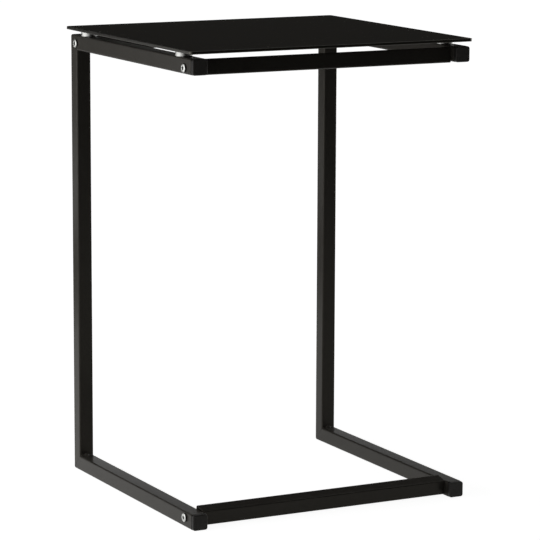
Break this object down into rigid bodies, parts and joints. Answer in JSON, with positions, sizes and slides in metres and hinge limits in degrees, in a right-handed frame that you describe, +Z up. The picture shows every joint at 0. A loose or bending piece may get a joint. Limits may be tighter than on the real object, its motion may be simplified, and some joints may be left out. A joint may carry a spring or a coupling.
{
  "type": "c shaped side table",
  "caption": "C shaped side table: square tube frames open at the front carry a black glass top on metal spacers, so the base slides under a sofa and the top reaches over it.",
  "frame": {"origin": "on the floor under the middle of the glass", "axes": "+Z up; +X along the crossbars, from the left frame to the right one; -Y out of the open side of the C, where the arms end"},
  "size_m": [0.4, 0.38, 0.6],
  "materials": {
    "black_glass": "polished, opaque black",
    "polished_metal": "polished",
    "black_coat": "fine satin powder coat",
    "plain_steel": "turned",
    "bright_zinc": "bright zinc plate",
    "black_plastic": "moulded, fine satin"
  },
  "bodies": {
    "root": {"glass_top": "black_glass", "front_left_spacer": "polished_metal", "front_right_spacer": "polished_metal", "rear_left_spacer": "polished_metal", "rear_right_spacer": "polished_metal", "left_top_arm": "black_coat", "left_upright": "black_coat", "left_bottom_arm": "black_coat", "right_top_arm": "black_coat", "right_upright": "black_coat", "right_bottom_arm": "black_coat", "top_front_bar": "black_coat", "top_front_left_insert": "plain_steel", "top_front_left_bolt": "bright_zinc", "top_front_right_insert": "plain_steel", "top_front_right_bolt": "bright_zinc", "top_rear_bar": "black_coat", "top_rear_left_insert": "plain_steel", "top_rear_left_bolt": "bright_zinc", "top_rear_right_insert": "plain_steel", "top_rear_right_bolt": "bright_zinc", "bottom_front_bar": "black_coat", "bottom_front_left_insert": "plain_steel", "bottom_front_left_bolt": "bright_zinc", "bottom_front_right_insert": "plain_steel", "bottom_front_right_bolt": "bright_zinc", "top_left_cap": "black_plastic", "top_right_cap": "black_plastic", "bottom_left_cap": "black_plastic", "bottom_right_cap": "black_plastic"}
  },
  "joints": []
}
